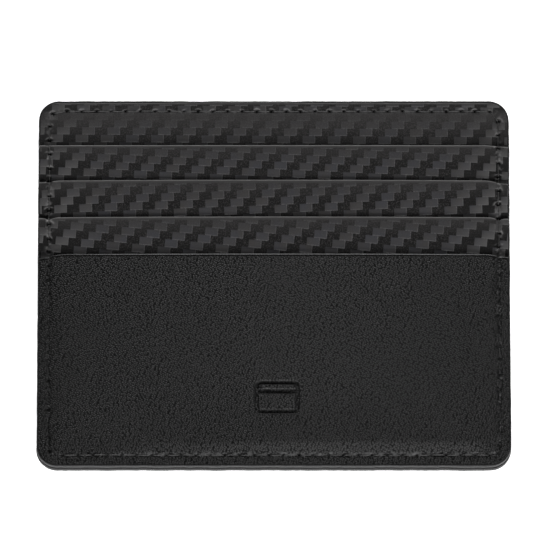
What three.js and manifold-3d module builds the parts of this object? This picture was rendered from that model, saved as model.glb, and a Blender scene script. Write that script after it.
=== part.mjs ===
// Slim leather card wallet with four card slots, lying on its back.
// Millimetres. +X runs to the right along the slots, +Y towards the slot mouths, +Z out of the front.
// The origin is the middle of the back face, which rests on the table.
//
// The wallet is a stack of sheets sewn together round its rim. The back half is leather, foil, board and
// lining. The front half is a backing sheet with a top panel, three slot strips and a front pocket on it.
// Narrow tapes in the seam keep the halves apart, and the flat space between them is a note pocket that
// opens at the top. The strips lie like shingles: each one leans a little, so that its mouth edge rides
// over the strip behind it and its tail lies deeper.

import * as THREE from "three";
import { mergeVertices } from "three/addons/utils/BufferGeometryUtils.js";
import Module from "manifold-3d";

const wasm = await Module();
wasm.setup();

// Overall size
const WIDTH = 100;
const HEIGHT = 80;
const CORNER_RADIUS = 4.4;
const INNER_RADIUS = 0.6;
const ARC_STEPS = 10;

// Sheet thicknesses
const BACK_LEATHER = 1.2;
const FOIL = 0.1;
const CORE_BOARD = 0.6;
const BACK_LINING = 0.3;
const NOTE_GAP = 0.4;
const SLOT_BACKING = 0.4;
const PANEL_LEATHER = 0.7;
const STRIP_LEATHER = 0.6;
const POCKET_LEATHER = 1;
const POCKET_LINING = 0.2;
const SLOT_LINING = 0.1;

// Slots, as heights above the middle of the wallet
const STRIP_MOUTHS = [29.9, 22.1, 14];
const POCKET_MOUTH = 5.8;
const STRIP_LENGTH = 12;
const STRIP_SLOPE = 0.066;
const SLOT_GAP = 0.1;
const PANEL_TUCK = 3.5;
const SLOT_BOTTOMS = [-15.5, -23, -30.5];
const SLOT_HALF_WIDTH = 45.5;
const LINING_TUCK = 3;
const POCKET_EDGE_TOP = 4.7;
const POCKET_LINING_MOUTH = 1;
const SHEET_CLEARANCE = 0.03;

// Seam round the rim
const SEAM_INSET = 2.4;
const THREAD_WIDTH = 0.45;
const THREAD_DEPTH = 0.25;
const GROOVE_WIDTH = 0.75;
const GROOVE_DEPTH = 0.4;
const FOIL_INSET = 3.4;
const TAPE_WIDTH = 3.4;
const HEM_THREAD_DEPTH = 0.12;
const LOWER_THREAD_LEVEL = 0.1;
const SLOT_SEAM_HALF_LENGTH = 44;

// Painted edges
const COAT = 0.25;
const FRONT_SET_BACK = 0.1;
const COAT_CLEARANCE = 0.02;
const COAT_END_GAP = 0.1;
const BACK_COAT_FOOT = 0.15;

// Debossed sign on the front pocket: a plain card outline with a stripe
const SIGN = { x: 0.7, y: -25.2, width: 9.4, height: 7, radius: 1.2, line: 0.8, stripe: 1, depth: 0.25 };

// Levels of the flat sheets, from the back face up
const BOARD_LEVEL = BACK_LEATHER + FOIL;
const LINING_LEVEL = BOARD_LEVEL + CORE_BOARD;
const NOTE_FLOOR = LINING_LEVEL + BACK_LINING;
const NOTE_CEILING = NOTE_FLOOR + NOTE_GAP;
const PANEL_LEVEL = NOTE_CEILING + SLOT_BACKING;
const PANEL_TOP = PANEL_LEVEL + PANEL_LEATHER;

const TOP = HEIGHT / 2;
const BOTTOM = -HEIGHT / 2;
const PANEL_END = STRIP_MOUTHS[0] - PANEL_TUCK;
const SHEET_INSET = FRONT_SET_BACK + COAT + COAT_CLEARANCE;
const SHEET_HALF_WIDTH = WIDTH / 2 - SHEET_INSET;

// Each leaning sheet is held by the height of its underside at the mouth and its slope.
const strips = [];
for (const mouth of STRIP_MOUTHS) {
  const behind = strips.at(-1);
  const under = behind
    ? behind.under - STRIP_SLOPE * (behind.mouth - mouth) + STRIP_LEATHER + SLOT_GAP
    : PANEL_TOP + SLOT_GAP + STRIP_SLOPE * PANEL_TUCK;
  strips.push({ mouth, under, slope: STRIP_SLOPE, thickness: STRIP_LEATHER, end: mouth - STRIP_LENGTH });
}
const lastStrip = strips.at(-1);
const strideToPocket = lastStrip.mouth - POCKET_MOUTH;
const pocketUnder = lastStrip.under - STRIP_SLOPE * strideToPocket + STRIP_LEATHER + SLOT_GAP;
const pocket = {
  mouth: POCKET_MOUTH,
  under: pocketUnder,
  slope: (pocketUnder + POCKET_LEATHER - POCKET_EDGE_TOP) / (POCKET_MOUTH - BOTTOM),
  thickness: POCKET_LEATHER,
};

const undersideAt = (sheet, y) => sheet.under - sheet.slope * (sheet.mouth - y);
const topAt = (sheet, y) => undersideAt(sheet, y) + sheet.thickness;

// Solids: three.js geometry in, manifold-3d booleans, three.js geometry out.
function solidOf(geometry) {
  const flat = geometry.index ? geometry.toNonIndexed() : geometry;
  const bare = new THREE.BufferGeometry().setAttribute("position", flat.getAttribute("position"));
  const merged = mergeVertices(bare, 1e-4);
  const mesh = new wasm.Mesh({
    numProp: 3,
    vertProperties: merged.attributes.position.array,
    triVerts: new Uint32Array(merged.index.array),
  });
  return new wasm.Manifold(mesh);
}

function geometryOf(solid) {
  const mesh = solid.getMesh();
  const geometry = new THREE.BufferGeometry();
  geometry.setAttribute("position", new THREE.BufferAttribute(mesh.vertProperties, 3));
  geometry.setIndex(new THREE.BufferAttribute(mesh.triVerts, 1));
  geometry.computeVertexNormals();
  return geometry;
}

// The wallet's outline, drawn in by inset; a cut at low or high leaves that end square.
function outline(inset, low = BOTTOM, high = TOP) {
  const x = WIDTH / 2 - inset;
  const y0 = Math.max(low, BOTTOM + inset);
  const y1 = Math.min(high, TOP - inset);
  const radius = Math.max(CORNER_RADIUS - inset, INNER_RADIUS);
  const bottomRadius = low > BOTTOM ? 0 : radius;
  const topRadius = high < TOP ? 0 : radius;
  const corners = [
    [x, y0, bottomRadius, -1, 1],
    [x, y1, topRadius, -1, -1],
    [-x, y1, topRadius, 1, -1],
    [-x, y0, bottomRadius, 1, 1],
  ];
  const points = [];
  corners.forEach(([cornerX, cornerY, r, inX, inY], quarter) => {
    const start = (quarter - 1) * (Math.PI / 2);
    const steps = r ? ARC_STEPS : 0;
    for (let i = 0; i <= steps; i++) {
      const angle = start + (steps ? (i / steps) * (Math.PI / 2) : 0);
      const centre = new THREE.Vector2(cornerX + inX * r, cornerY + inY * r);
      points.push(centre.add(new THREE.Vector2(Math.cos(angle), Math.sin(angle)).multiplyScalar(r)));
    }
  });
  return points;
}

function prism(points, thickness, holes = []) {
  const shape = new THREE.Shape(points);
  shape.holes = holes.map((hole) => new THREE.Path(hole));
  return new THREE.ExtrudeGeometry(shape, { depth: thickness, bevelEnabled: false });
}

// A profile of [y, z] points run from side to side of the wallet.
function across(profile, halfWidth, middleX = 0) {
  const shape = new THREE.Shape(profile.map(([y, z]) => new THREE.Vector2(y, z)));
  const geometry = new THREE.ExtrudeGeometry(shape, { depth: 2 * halfWidth, bevelEnabled: false });
  const turn = new THREE.Matrix4().makeBasis(
    new THREE.Vector3(0, 1, 0),
    new THREE.Vector3(0, 0, 1),
    new THREE.Vector3(1, 0, 0),
  );
  turn.setPosition(middleX - halfWidth, 0, 0);
  return geometry.applyMatrix4(turn);
}

// An upright block of any outline, taller than the wallet and starting OVERCUT below it, for cutting
// sheets to shape.
const OVERCUT = 1;
const BLOCK_HEIGHT = 10;
const block = (points, holes) => solidOf(prism(points, BLOCK_HEIGHT, holes).translate(0, 0, -OVERCUT));

// Everything under the front surface, moved by dy and dz: the stepped section that the seam, its groove
// and the painted edge all follow.
function frontSection(dy, dz) {
  const profile = [
    [TOP, PANEL_TOP],
    [strips[0].mouth, PANEL_TOP],
  ];
  const steps = [...strips, pocket];
  steps.forEach((sheet, i) => {
    const low = i < steps.length - 1 ? steps[i + 1].mouth : BOTTOM - OVERCUT;
    profile.push([sheet.mouth, topAt(sheet, sheet.mouth)], [low, topAt(sheet, low)]);
  });
  const surface = profile.map(([y, z]) => [y + dy, z + dz]);
  const foot = [
    [BOTTOM - OVERCUT + dy, 0],
    [TOP + OVERCUT, 0],
    [TOP + OVERCUT, PANEL_TOP + dz],
  ];
  return solidOf(across([...foot, ...surface], WIDTH / 2 + OVERCUT));
}

// The skin of the front surface, down to a depth. A skin that cuts a groove also stands out of the surface.
const STAND_OUT = 0.2;
const frontSkin = (depth, out = 0) => frontSection(out, out).subtract(frontSection(-depth, -depth));

// A sheet that leans like its strip or pocket, drop lower and as thick as asked.
function leaningSheet(sheet, low, high, halfWidth, thickness = sheet.thickness, drop = 0) {
  const profile = [
    [low, undersideAt(sheet, low) - drop],
    [high, undersideAt(sheet, high) - drop],
    [high, undersideAt(sheet, high) - drop + thickness],
    [low, undersideAt(sheet, low) - drop + thickness],
  ];
  return solidOf(across(profile, halfWidth));
}

const seamBand = (width) => block(outline(SEAM_INSET - width / 2), [outline(SEAM_INSET + width / 2)]);
const frontGroove = seamBand(GROOVE_WIDTH).intersect(frontSkin(GROOVE_DEPTH, STAND_OUT));

// Looks
const look = (color, roughness, metalness = 0) => () =>
  new THREE.MeshStandardMaterial({ color, roughness, metalness });
const smoothLeather = look(0x262627, 0.55);
const wovenLeather = look(0x343335, 0.4);
const liningCloth = look(0x1c1c1e, 0.9);
const shieldFoil = look(0x9a9ca0, 0.35, 1);
const leatherBoard = look(0x4a4038, 0.85);
const edgePaint = look(0x3c3b3d, 0.35);
const sewingThread = look(0x151516, 0.6);

function node(name, geometry, finish, level = 0) {
  const mesh = new THREE.Mesh(geometry, finish());
  mesh.name = name;
  mesh.position.z = level;
  return mesh;
}

// Back half
function backPanel() {
  const sheet = solidOf(prism(outline(COAT + COAT_CLEARANCE), BACK_LEATHER));
  const cutDepth = solidOf(prism(outline(0), GROOVE_DEPTH + OVERCUT).translate(0, 0, -OVERCUT));
  return geometryOf(sheet.subtract(seamBand(GROOVE_WIDTH).intersect(cutDepth)));
}

function backHalf() {
  const group = new THREE.Group();
  group.add(node("back_panel", backPanel(), smoothLeather));
  group.add(node("back_shield", prism(outline(FOIL_INSET), FOIL), shieldFoil, BACK_LEATHER));
  group.add(node("core_board", prism(outline(SHEET_INSET), CORE_BOARD), leatherBoard, BOARD_LEVEL));
  group.add(node("back_lining", prism(outline(SHEET_INSET), BACK_LINING), liningCloth, LINING_LEVEL));
  return group;
}

// Tapes in the seam, down both sides and along the bottom of the note pocket
function noteTape(minX, maxX, minY, maxY) {
  const box = [
    new THREE.Vector2(minX, minY),
    new THREE.Vector2(maxX, minY),
    new THREE.Vector2(maxX, maxY),
    new THREE.Vector2(minX, maxY),
  ];
  const tape = solidOf(prism(outline(SHEET_INSET), NOTE_GAP)).intersect(block(box));
  return geometryOf(tape);
}

function noteTapes() {
  const group = new THREE.Group();
  const inner = WIDTH / 2 - TAPE_WIDTH;
  const clear = SHEET_CLEARANCE;
  const left = noteTape(-WIDTH / 2, -inner, BOTTOM, TOP);
  const right = noteTape(inner, WIDTH / 2, BOTTOM, TOP);
  const bottom = noteTape(clear - inner, inner - clear, BOTTOM, BOTTOM + TAPE_WIDTH);
  group.add(node("note_tape_left", left, leatherBoard, NOTE_FLOOR));
  group.add(node("note_tape_right", right, leatherBoard, NOTE_FLOOR));
  group.add(node("note_tape_bottom", bottom, leatherBoard, NOTE_FLOOR));
  return group;
}

// Front half
function topPanel() {
  const sheet = prism(outline(SHEET_INSET, PANEL_END), PANEL_LEATHER).translate(0, 0, PANEL_LEVEL);
  return geometryOf(solidOf(sheet).subtract(frontGroove));
}

function slotStrip(strip) {
  const sheet = leaningSheet(strip, strip.end, strip.mouth, SHEET_HALF_WIDTH);
  return geometryOf(sheet.subtract(frontGroove));
}

// A slot lining starts under its strip's tail and hangs down to its own foot on the backing sheet. On the
// way it lies over the feet of the linings behind it.
function slotLining(index) {
  const strip = strips[index];
  const layer = SLOT_LINING + SHEET_CLEARANCE;
  const underStrip = (y) => [y, undersideAt(strip, y) - layer];
  const feet = SLOT_BOTTOMS.slice(0, index + 1).map((y, i) => {
    return [y, PANEL_LEVEL + SHEET_CLEARANCE + (index - i) * layer];
  });
  const underside = [underStrip(strip.end + LINING_TUCK), underStrip(strip.end), ...feet];
  const upside = underside.map(([y, z]) => [y, z + SLOT_LINING]);
  return across([...underside, ...upside.reverse()].reverse(), SLOT_HALF_WIDTH);
}

// The row of stitches that closes a slot at the lining's foot.
function slotSeam(index) {
  const high = SLOT_BOTTOMS[index] - SHEET_CLEARANCE;
  const low = high - THREAD_WIDTH;
  const floor = PANEL_LEVEL + SHEET_CLEARANCE;
  const ceiling = floor + SLOT_LINING;
  const profile = [
    [low, floor],
    [high, floor],
    [high, ceiling],
    [low, ceiling],
  ];
  return across(profile, SLOT_SEAM_HALF_LENGTH);
}

function sign() {
  const { x, y, width, height, radius, line, stripe } = SIGN;
  const card = (inset) => {
    const halfWidth = width / 2 - inset;
    const halfHeight = height / 2 - inset;
    const r = radius - inset;
    const shape = new THREE.Shape();
    shape.absarc(x + halfWidth - r, y + halfHeight - r, r, 0, Math.PI / 2);
    shape.absarc(x - halfWidth + r, y + halfHeight - r, r, Math.PI / 2, Math.PI);
    shape.absarc(x - halfWidth + r, y - halfHeight + r, r, Math.PI, 1.5 * Math.PI);
    shape.absarc(x + halfWidth - r, y - halfHeight + r, r, 1.5 * Math.PI, 2 * Math.PI);
    return shape.getPoints(ARC_STEPS / 2);
  };
  const stripeEnd = width / 2 - line / 2;
  const stripeLow = y + height / 10;
  const bar = [
    new THREE.Vector2(x - stripeEnd, stripeLow),
    new THREE.Vector2(x + stripeEnd, stripeLow),
    new THREE.Vector2(x + stripeEnd, stripeLow + stripe),
    new THREE.Vector2(x - stripeEnd, stripeLow + stripe),
  ];
  return block(card(0), [card(line)]).add(block(bar));
}

function frontPocket() {
  const sheet = leaningSheet(pocket, BOTTOM - OVERCUT, POCKET_MOUTH, WIDTH / 2);
  const trimmed = sheet.intersect(block(outline(SHEET_INSET)));
  const debossed = trimmed.subtract(sign().intersect(frontSkin(SIGN.depth, STAND_OUT)));
  return geometryOf(debossed.subtract(frontGroove));
}

// The pocket's foil and lining lie flat against its leather.
const foilDrop = FOIL + SHEET_CLEARANCE;
const liningDrop = foilDrop + POCKET_LINING + SHEET_CLEARANCE;

function underPocket(thickness, drop, inset) {
  const low = BOTTOM - OVERCUT;
  const sheet = leaningSheet(pocket, low, POCKET_LINING_MOUTH, WIDTH / 2, thickness, drop);
  return geometryOf(sheet.intersect(block(outline(inset))));
}

// Fillers take up the room along the rim between the backing sheet and the sheets that lean above it.
function sideFiller(side) {
  const clear = SHEET_CLEARANCE;
  const low = BOTTOM + TAPE_WIDTH;
  const covers = [
    [PANEL_END, strips[0].end, (y) => undersideAt(strips[0], y)],
    [strips[0].end, strips[1].end, (y) => undersideAt(strips[1], y)],
    [strips[1].end, strips[2].end, (y) => undersideAt(strips[2], y)],
    [POCKET_LINING_MOUTH, low, (y) => undersideAt(pocket, y) - liningDrop],
  ];
  const profile = [
    [low - clear, PANEL_LEVEL],
    [PANEL_END - clear, PANEL_LEVEL],
  ];
  covers.forEach(([from, to, cover]) => {
    profile.push([from - clear, cover(from) - 2 * clear], [to - clear, cover(to) - 2 * clear]);
  });
  const inner = WIDTH / 2 - TAPE_WIDTH;
  const halfWidth = (SHEET_HALF_WIDTH - inner) / 2;
  const strip = solidOf(across(profile, halfWidth, side * (inner + halfWidth)));
  return geometryOf(strip.intersect(block(outline(SHEET_INSET))));
}

function bottomFiller() {
  const low = BOTTOM - OVERCUT;
  const high = BOTTOM + TAPE_WIDTH - 2 * SHEET_CLEARANCE;
  const ceiling = (y) => undersideAt(pocket, y) - liningDrop - SHEET_CLEARANCE;
  const profile = [
    [low, PANEL_LEVEL],
    [high, PANEL_LEVEL],
    [high, ceiling(high)],
    [low, ceiling(low)],
  ];
  const strip = solidOf(across(profile, WIDTH / 2));
  return geometryOf(strip.intersect(block(outline(SHEET_INSET))));
}

function frontHalf() {
  const group = new THREE.Group();
  group.add(node("slot_backing", prism(outline(SHEET_INSET), SLOT_BACKING), liningCloth, NOTE_CEILING));
  group.add(node("top_panel", topPanel(), wovenLeather));
  strips.forEach((strip, i) => {
    group.add(node(`slot_strip_${i + 1}`, slotStrip(strip), wovenLeather));
    group.add(node(`slot_lining_${i + 1}`, slotLining(i), liningCloth));
    group.add(node(`slot_seam_${i + 1}`, slotSeam(i), sewingThread));
  });
  group.add(node("front_pocket", frontPocket(), smoothLeather));
  group.add(node("pocket_shield", underPocket(FOIL, foilDrop, FOIL_INSET), shieldFoil));
  group.add(node("pocket_lining", underPocket(POCKET_LINING, liningDrop, SHEET_INSET), liningCloth));
  group.add(node("side_filler_left", sideFiller(-1), leatherBoard));
  group.add(node("side_filler_right", sideFiller(1), leatherBoard));
  group.add(node("bottom_filler", bottomFiller(), leatherBoard));
  return group;
}

// Rim: the threads of the seam and the painted edges of the two halves
function upperThread() {
  return geometryOf(seamBand(THREAD_WIDTH).intersect(frontSkin(THREAD_DEPTH)));
}

function lowerThread() {
  const half = THREAD_WIDTH / 2;
  return prism(outline(SEAM_INSET - half), THREAD_DEPTH, [outline(SEAM_INSET + half)]);
}

// Across the top the two halves are hemmed apart, so each hem's other thread lies inside the note pocket.
function hemThread() {
  const y = TOP - SEAM_INSET;
  const profile = [
    [y - THREAD_WIDTH / 2, 0],
    [y + THREAD_WIDTH / 2, 0],
    [y + THREAD_WIDTH / 2, HEM_THREAD_DEPTH],
    [y - THREAD_WIDTH / 2, HEM_THREAD_DEPTH],
  ];
  return across(profile, SLOT_HALF_WIDTH);
}

function backCoat() {
  const height = NOTE_FLOOR - COAT_END_GAP - BACK_COAT_FOOT;
  return prism(outline(0), height, [outline(COAT)]);
}

function frontCoat() {
  const band = block(outline(FRONT_SET_BACK), [outline(FRONT_SET_BACK + COAT)]);
  const below = solidOf(prism(outline(-OVERCUT), NOTE_CEILING + COAT_END_GAP));
  return geometryOf(band.intersect(frontSection(0, -COAT_END_GAP).subtract(below)));
}

function rim() {
  const group = new THREE.Group();
  group.add(node("upper_thread", upperThread(), sewingThread));
  group.add(node("lower_thread", lowerThread(), sewingThread, LOWER_THREAD_LEVEL));
  group.add(node("hem_thread_back", hemThread(), sewingThread, NOTE_FLOOR + SHEET_CLEARANCE));
  const ceiling = NOTE_CEILING - SHEET_CLEARANCE - HEM_THREAD_DEPTH;
  group.add(node("hem_thread_front", hemThread(), sewingThread, ceiling));
  group.add(node("edge_coat_back", backCoat(), edgePaint, BACK_COAT_FOOT));
  group.add(node("edge_coat_front", frontCoat(), edgePaint));
  return group;
}

const wallet = new THREE.Group();
wallet.add(backHalf(), noteTapes(), frontHalf(), rim());

export default wallet;
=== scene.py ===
"""A slim black leather card wallet, lying on its back, seen from above.

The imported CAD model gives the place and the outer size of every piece. The leather, the thread round the
rim and the painted edges are made again here as fine meshes, and the pieces hidden inside keep their CAD
shapes with better materials.
All lengths are in metres. +X runs along the slots, +Y towards their mouths, +Z out of the front face.
"""

import math

import bpy
import numpy as np
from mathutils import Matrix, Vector


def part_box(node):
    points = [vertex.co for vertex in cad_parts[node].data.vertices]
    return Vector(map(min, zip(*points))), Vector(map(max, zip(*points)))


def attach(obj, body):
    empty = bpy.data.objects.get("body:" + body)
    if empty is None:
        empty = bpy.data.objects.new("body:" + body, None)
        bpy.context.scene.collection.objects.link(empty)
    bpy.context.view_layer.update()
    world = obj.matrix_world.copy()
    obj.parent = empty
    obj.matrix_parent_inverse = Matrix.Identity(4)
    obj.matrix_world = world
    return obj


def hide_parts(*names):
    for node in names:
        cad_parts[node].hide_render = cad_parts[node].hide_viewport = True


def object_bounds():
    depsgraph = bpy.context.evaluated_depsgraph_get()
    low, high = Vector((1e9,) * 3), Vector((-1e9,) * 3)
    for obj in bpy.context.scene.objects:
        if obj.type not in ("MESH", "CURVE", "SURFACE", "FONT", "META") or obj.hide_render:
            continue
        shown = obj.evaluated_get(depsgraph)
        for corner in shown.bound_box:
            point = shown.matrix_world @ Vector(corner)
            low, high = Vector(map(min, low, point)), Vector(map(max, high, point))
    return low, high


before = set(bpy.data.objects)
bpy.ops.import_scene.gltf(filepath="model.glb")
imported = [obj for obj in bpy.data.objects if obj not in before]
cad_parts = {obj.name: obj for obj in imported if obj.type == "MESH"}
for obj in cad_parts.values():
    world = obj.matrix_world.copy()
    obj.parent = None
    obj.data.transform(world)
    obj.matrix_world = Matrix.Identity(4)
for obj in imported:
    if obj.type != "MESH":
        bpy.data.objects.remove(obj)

MM = 0.001
cad_low, cad_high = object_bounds()

# ---------------------------------------------------------------------------------------------------
# Sizes, from the CAD model where it has them
# ---------------------------------------------------------------------------------------------------
HALF_WIDTH = cad_high.x
HALF_HEIGHT = cad_high.y
RIM_RADIUS = 4.4 * MM
SEAM_INSET = 2.4 * MM
STITCH_PITCH = 3.09 * MM
FIRST_STITCH = -43.9 * MM  # a needle hole of the top row, counted from the middle
THREAD_RADIUS = 0.11 * MM

STRIP_LEATHER = 0.6 * MM
POCKET_LEATHER = 1.0 * MM
THICK_EDGE_BULGE = 0.06 * MM  # how far the cut edge of a thick leather stands out in its middle
THIN_EDGE_BULGE = 0.05 * MM
MOUTH_REACH = 3 * MM  # how far below a mouth its droop is felt
SIGN_CENTRE = (0.7 * MM, -25.2 * MM)

STRIP_NODES = ("slot_strip_1", "slot_strip_2", "slot_strip_3")


def leaning(node, thickness):
    """How a leaning sheet lies: its mouth, its tail, its underside at the mouth and its slope."""
    low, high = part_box(node)
    slope = (high.z - low.z - thickness) / (high.y - low.y)
    return {
        "mouth": high.y,
        "end": low.y,
        "under": high.z - thickness,
        "slope": slope,
        "thickness": thickness,
        "half_width": high.x,
    }


strips = [leaning(node, STRIP_LEATHER) for node in STRIP_NODES]
pocket = leaning("front_pocket", POCKET_LEATHER)
panel_low, panel_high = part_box("top_panel")


def plane(lean, y):
    """The plain top surface of a leaning sheet, before any shape is added to it."""
    return lean["under"] + lean["thickness"] - lean["slope"] * (lean["mouth"] - y)


# ---------------------------------------------------------------------------------------------------
# Small numeric helpers
# ---------------------------------------------------------------------------------------------------
def noise(x, y, size, seed):
    """Smooth random bumps from -1 to 1, each about size across, repeating after many."""
    cells = 128
    table = np.random.default_rng(seed).uniform(-1, 1, (cells, cells))
    column, row = x / size, y / size
    i, j = np.floor(column).astype(int), np.floor(row).astype(int)
    u, v = column - i, row - j
    u, v = u * u * (3 - 2 * u), v * v * (3 - 2 * v)
    i, j = i % cells, j % cells
    k, m = (i + 1) % cells, (j + 1) % cells
    near = table[i, j] * (1 - u) + table[k, j] * u
    far = table[i, m] * (1 - u) + table[k, m] * u
    return near * (1 - v) + far * v


def ramp(value, start, end):
    """0 before start, 1 after end, and smooth between them."""
    t = np.clip((value - start) / (end - start), 0, 1)
    return t * t * (3 - 2 * t)


def hump(value, width):
    """1 at zero, falling away smoothly over width."""
    return np.exp(-((value / width) ** 2))


def rim_distance(x, y):
    """How far inside the wallet's rounded outline a point lies."""
    across = np.abs(x) - (HALF_WIDTH - RIM_RADIUS)
    along = np.abs(y) - (HALF_HEIGHT - RIM_RADIUS)
    outside = np.hypot(np.maximum(across, 0), np.maximum(along, 0))
    return RIM_RADIUS - outside - np.minimum(np.maximum(across, along), 0)


def row_half_width(y, inset):
    """Half the wallet's width at a height, drawn in by inset, with the rounding of the corners."""
    radius = RIM_RADIUS - inset
    into_corner = np.clip(np.abs(y) - (HALF_HEIGHT - RIM_RADIUS), 0, radius)
    return HALF_WIDTH - RIM_RADIUS + np.sqrt(radius**2 - into_corner**2)


EDGE_INSETS = [inset * MM for inset in (0.03, 0.08, 0.15, 0.24, 0.35, 0.5)]
LEAST_GAP = 0.015 * MM


def lines(start, end, step, fine=()):
    """Grid lines from start to end, a step apart, closer in the fine spans and at the ends. A fine span
    is its start, its end and its own step."""
    marks = set()
    position = start
    while position < end:
        marks.add(round(position, 8))
        pace = step
        for low, high, fine_step in fine:
            if low <= position < high:
                pace = min(pace, fine_step)
        position += pace
    marks.add(round(end, 8))
    for inset in EDGE_INSETS:
        marks.add(round(start + inset, 8))
        marks.add(round(end - inset, 8))
    marks = sorted(marks)
    kept = [marks[0]]
    for mark in marks[1:]:
        if mark - kept[-1] > LEAST_GAP:
            kept.append(mark)
    return np.array(kept)


# ---------------------------------------------------------------------------------------------------
# Needle holes
# ---------------------------------------------------------------------------------------------------
def seam_point(distance):
    """A point on the seam, by the distance from the middle of its top row, running clockwise."""
    radius = RIM_RADIUS - SEAM_INSET
    half_top = HALF_WIDTH - RIM_RADIUS
    half_side = HALF_HEIGHT - RIM_RADIUS
    x_out, y_out = HALF_WIDTH - SEAM_INSET, HALF_HEIGHT - SEAM_INSET
    quarter = radius * math.pi / 2
    runs = (half_top, quarter, 2 * half_side, quarter, 2 * half_top, quarter, 2 * half_side, quarter)
    total = sum(runs) + half_top
    left = distance % total
    # A straight run is its start and its direction, a corner its centre, its first angle and a blank
    starts = [
        (0, y_out, 1, 0),
        (half_top, half_side, 90, 0),
        (x_out, half_side, 0, -1),
        (half_top, -half_side, 0, 0),
        (half_top, -y_out, -1, 0),
        (-half_top, -half_side, -90, 0),
        (-x_out, -half_side, 0, 1),
        (-half_top, half_side, -180, 0),
        (-half_top, y_out, 1, 0),
    ]
    for index, run in enumerate((*runs, half_top)):
        x, y, a, b = starts[index]
        if left <= run or index == len(runs):
            if index % 2 == 1:
                angle = math.radians(a) - left / radius
                return x + radius * math.cos(angle), y + radius * math.sin(angle)
            return x + a * left, y + b * left
        left -= run
    return 0, y_out


def seam_length():
    """The length of the seam once round."""
    radius = RIM_RADIUS - SEAM_INSET
    return 4 * (HALF_WIDTH - RIM_RADIUS) + 4 * (HALF_HEIGHT - RIM_RADIUS) + 2 * math.pi * radius


STITCHES = round(seam_length() / STITCH_PITCH)


def needle_holes(seed):
    """Where the needle went through, in order round the seam, with the unevenness of real sewing."""
    most_slip, most_drift = 0.1, 0.06
    pitch = seam_length() / STITCHES
    rng = np.random.default_rng(seed)
    slip = rng.uniform(-most_slip, most_slip, STITCHES) * MM
    drift = rng.uniform(-most_drift, most_drift, (STITCHES, 2)) * MM
    points = [seam_point(FIRST_STITCH + i * pitch + slip[i]) for i in range(STITCHES)]
    return np.array(points) + drift


front_holes = needle_holes(3)
back_holes = needle_holes(4)


def hole_shares(x, y, holes, radius):
    """How much of each point is needle hole, and how much the crescent that the needle raised over it.
    The holes are drawn out along X and differ in size, and their crescents in strength and in the side
    they lie on."""
    side_column = HALF_WIDTH - 3 * MM
    side_growth, drawn_out = 1.3, 1.25
    crescent_distance, crescent_width = 1.65, 0.5
    pit, crescent = np.zeros_like(x), np.zeros_like(x)
    reach = 5 * radius
    rng = np.random.default_rng(5)
    sizes = radius * rng.uniform(0.8, 1.25, len(holes))
    sizes[np.abs(holes[:, 0]) > side_column] *= side_growth
    strengths = rng.uniform(0.45, 1, len(holes))
    leans = rng.uniform(-0.9, 0.9, len(holes))
    for (hole_x, hole_y), size, strength, lean in zip(holes, sizes, strengths, leans):
        near = (np.abs(x - hole_x) < reach) & (np.abs(y - hole_y) < reach)
        if not near.any():
            continue
        across, up = (x[near] - hole_x) / drawn_out, y[near] - hole_y
        distance = np.hypot(across, up)
        pit[near] += hump(distance, size)
        above = ramp(up - lean * across, 0.3 * size, 1.3 * size)
        ring = hump(distance - crescent_distance * size, crescent_width * size)
        crescent[near] += strength * ring * above
    return pit, crescent


# ---------------------------------------------------------------------------------------------------
# Meshes
# ---------------------------------------------------------------------------------------------------
def new_piece(name, vertices, faces, material, replaces=(), tone=None):
    """A mesh piece. Its last argument gives, for each vertex, the light and shade painted on the leather:
    above 0 where a highlight is painted on, and below 0 where shade is painted on."""
    mesh = bpy.data.meshes.new(name)
    mesh.from_pydata(vertices.tolist(), [], faces)
    mesh.polygons.foreach_set("use_smooth", [True] * len(mesh.polygons))
    mesh.materials.append(material)
    if tone is not None:
        layer = mesh.attributes.new("tone", "FLOAT", "POINT")
        layer.data.foreach_set("value", tone.astype(np.float32))
    mesh.update()
    piece = bpy.data.objects.new(name, mesh)
    bpy.context.scene.collection.objects.link(piece)
    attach(piece, "root")
    if replaces:
        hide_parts(*replaces)
    return piece


# A cut edge's rounded section, as shares of its bulge and of the way down
ROUND_EDGE = ((0.5, 0.12), (0.9, 0.3), (1, 0.5), (0.9, 0.7), (0.5, 0.88), (0, 1))


def sheet_solid(x, y, top, under, bulge, tone):
    """The vertices, faces and painted light and shade of a closed sheet. x, y, top and the painted light
    and shade are grids, with a row for each y, and under gives the underside's height from x and y."""
    rows, columns = x.shape
    grid = np.arange(rows * columns).reshape(rows, columns)
    surface = np.stack([x, y, top], axis=-1).reshape(-1, 3)
    quads = np.stack([grid[:-1, :-1], grid[:-1, 1:], grid[1:, 1:], grid[1:, :-1]], axis=-1)
    faces = quads.reshape(-1, 4).tolist()
    loop = np.concatenate([grid[0, :-1], grid[:-1, -1], grid[-1, :0:-1], grid[:0:-1, 0]])
    rim = surface[loop]
    step = np.roll(rim[:, :2], -1, axis=0) - np.roll(rim[:, :2], 1, axis=0)
    outward = np.stack([step[:, 1], -step[:, 0]], axis=-1)
    outward /= np.linalg.norm(outward, axis=1, keepdims=True)
    low = under(rim[:, 0], rim[:, 1])
    layers, painted_shadings = [surface], [tone.ravel()]
    above = loop
    count = len(surface)
    for out, down in ROUND_EDGE:
        layer = rim.copy()
        layer[:, :2] += outward * out * bulge
        layer[:, 2] = rim[:, 2] * (1 - down) + low * down
        below = count + np.arange(len(loop))
        nxt = np.roll(np.arange(len(loop)), -1)
        walls = np.stack([above, below, below[nxt], above[nxt]], axis=-1)
        faces.extend(walls.tolist())
        layers.append(layer)
        painted_shadings.append(tone.ravel()[loop])
        above = below
        count += len(loop)
    faces.append(above[::-1].tolist())
    return np.concatenate(layers), faces, np.concatenate(painted_shadings)


def bullnose(distance, radius):
    """How far a rounded edge has dropped at a distance in from it."""
    short = np.clip(radius - distance, 0, radius)
    return radius - np.sqrt(radius**2 - short**2)


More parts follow.
